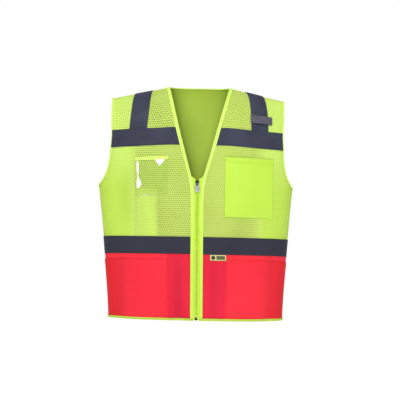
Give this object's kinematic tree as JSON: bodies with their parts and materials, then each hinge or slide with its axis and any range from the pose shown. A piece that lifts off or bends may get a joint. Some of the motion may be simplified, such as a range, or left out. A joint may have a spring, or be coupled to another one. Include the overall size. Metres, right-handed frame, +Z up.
{
  "type": "high visibility vest",
  "caption": "Sleeveless safety vest with mesh fronts, solid back, reflective tapes, patch pockets, a clear card pocket, a separating front zip and a shoulder microphone tab.",
  "frame": {"origin": "midway between the two shoulders, on the middle of the garment, at the mean height of the shoulder seams", "axes": "+X towards the wearer's left, -Y out of the front, +Z up"},
  "size_m": [0.5798, 0.206, 0.6929],
  "materials": {
    "lime_knit": "solid polyester knit, fluorescent yellow-green",
    "lime_mesh": "open polyester mesh, fluorescent yellow-green",
    "red_cloth": "solid woven polyester, fluorescent red",
    "reflective_tape": "glass-bead retroreflective tape, dark silver in diffuse light",
    "lime_binding": "folded polyester binding",
    "clear_film": "clear flexible vinyl",
    "zip_cloth": "woven zip tape",
    "zip_plastic": "moulded plastic",
    "black_metal": "satin black enamel",
    "grey_metal": "satin grey metal",
    "grey_webbing": "woven webbing",
    "hook_and_loop": "hook and loop tape",
    "label_cloth": "woven label"
  },
  "bodies": {
    "root": {"back_upper_panel": "lime_knit", "chest_pocket": "lime_knit", "left_side_facing": "lime_knit", "right_side_facing": "lime_knit", "inner_pocket": "lime_knit", "left_front_mesh": "lime_mesh", "right_front_mesh": "lime_mesh", "back_lower_panel": "red_cloth", "left_front_lower_panel": "red_cloth", "right_front_lower_panel": "red_cloth", "left_lower_pocket": "red_cloth", "right_lower_pocket": "red_cloth", "back_chest_tape": "reflective_tape", "back_waist_tape": "reflective_tape", "left_chest_tape": "reflective_tape", "right_chest_tape": "reflective_tape", "left_waist_tape": "reflective_tape", "right_waist_tape": "reflective_tape", "left_shoulder_tape": "reflective_tape", "right_shoulder_tape": "reflective_tape", "left_edging": "lime_binding", "right_neck_edging": "lime_binding", "back_neck_binding": "lime_binding", "hem_binding": "lime_binding", "left_armhole_binding": "lime_binding", "right_armhole_binding": "lime_binding", "id_pocket_strip": "lime_binding", "id_pocket_film": "clear_film", "left_zip_tape": "zip_cloth", "left_zip_teeth": "zip_plastic", "insertion_pin": "zip_plastic", "left_top_stop": "black_metal", "mic_tab_base": "grey_webbing", "mic_tab_loop": "hook_and_loop", "label": "label_cloth"},
    "right_front": {"right_front_mesh_flap": "lime_mesh", "right_front_lower_panel_flap": "red_cloth", "right_waist_tape_flap": "reflective_tape", "right_edging_flap": "lime_binding", "hem_binding_flap": "lime_binding", "right_zip_tape": "zip_cloth", "right_zip_teeth": "zip_plastic", "right_top_stop": "black_metal", "retainer_box": "black_metal"},
    "zip_slider": {"zip_slider": "black_metal"},
    "zip_pull": {"zip_pull": "grey_metal"},
    "mic_tab": {"mic_tab_strap": "grey_webbing", "mic_tab_hook": "hook_and_loop"}
  },
  "joints": [
    {"name": "right_front_open", "type": "hinge", "parent": "root", "child": "right_front", "pos_m": [-0.082, -0.1062, -0.6695], "axis": [-0.0965, 0.0052, -0.9953], "range_deg": [0, 150]},
    {"name": "zip_slide", "type": "slide", "parent": "right_front", "child": "zip_slider", "axis": [0, 0, -1], "range_m": [0, 0.385]},
    {"name": "zip_pull_swing", "type": "hinge", "parent": "zip_slider", "child": "zip_pull", "pos_m": [0, -0.109, -0.2683], "axis": [-1, 0, 0], "range_deg": [0, 170]},
    {"name": "mic_tab_peel", "type": "hinge", "parent": "root", "child": "mic_tab", "pos_m": [0.20993, -0.07163, -0.0787], "axis": [0.0183, 0.3873, 0.9218], "range_deg": [0, 150]}
  ]
}
